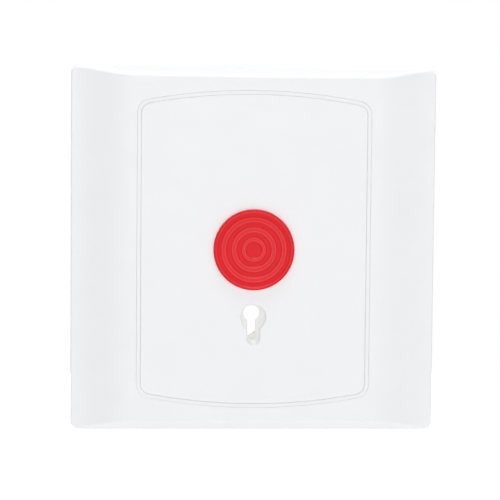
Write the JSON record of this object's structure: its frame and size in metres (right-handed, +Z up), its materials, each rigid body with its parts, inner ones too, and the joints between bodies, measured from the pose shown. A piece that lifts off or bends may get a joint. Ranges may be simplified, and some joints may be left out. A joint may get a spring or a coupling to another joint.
{
  "type": "emergency alarm button",
  "caption": "Square wall plate with a dished latching push button, a keyhole for the release key, and a switch mechanism with screw terminals in a case behind the plate.",
  "frame": {"origin": "middle of the plate, on the wall plane that the cover's rear edge and the mounting base lie on", "axes": "-Y out of the wall, towards the person who presses; +Z up; +X to the right of a person who faces the plate"},
  "size_m": [0.086, 0.0297, 0.086],
  "materials": {
    "cover_white": "satin moulded",
    "base_white": "moulded",
    "guide_white": "moulded",
    "case_grey": "fine texture",
    "button_red": "satin moulded",
    "stem_white": "moulded",
    "latch_steel": "yellow zinc plated",
    "spring_steel": "drawn wire",
    "screw_steel": "zinc plated",
    "bronze_strip": "rolled strip",
    "contact_silver": "turned",
    "terminal_brass": "turned"
  },
  "bodies": {
    "plate": {"front_cover": "cover_white", "mounting_base": "base_white", "key_guide": "guide_white", "mechanism_housing": "case_grey", "rear_cover": "case_grey", "latch_keeper": "screw_steel", "keeper_screws": "screw_steel", "common_strip": "bronze_strip", "nc_strip": "bronze_strip", "nc_contact": "contact_silver", "no_strip": "bronze_strip", "no_contact": "contact_silver", "common_terminal": "terminal_brass", "nc_terminal": "terminal_brass", "no_terminal": "terminal_brass", "terminal_screws": "screw_steel", "strip_rivets": "contact_silver", "housing_screws": "screw_steel", "rear_screws": "screw_steel"},
    "button": {"button_cap": "button_red", "button_stem": "stem_white", "stem_clip": "spring_steel", "return_spring": "spring_steel"},
    "latch": {"latch_slider": "latch_steel", "latch_spring": "spring_steel"},
    "leaf": {"common_leaf": "bronze_strip", "moving_contact": "contact_silver"}
  },
  "joints": [
    {"name": "button_press", "type": "slide", "parent": "plate", "child": "button", "axis": [0, 1, 0], "range_m": [0, 0.0036], "stiffness_N_per_m": 1000, "deforming": ["return_spring"]},
    {"name": "latch_slide", "type": "slide", "parent": "plate", "child": "latch", "axis": [0, 0, -1], "range_m": [-0.0011, 0.0009], "stiffness_N_per_m": 300, "deforming": ["latch_spring"]},
    {"name": "leaf_bend", "type": "hinge", "parent": "plate", "child": "leaf", "pos_m": [0, 0.00948, 0.015], "axis": [1, 0, 0], "range_deg": [0, 13.76]}
  ],
  "couplings": [
    {"joint": "leaf_bend", "follows": "button_press", "rad_per_m": 66.667}
  ]
}
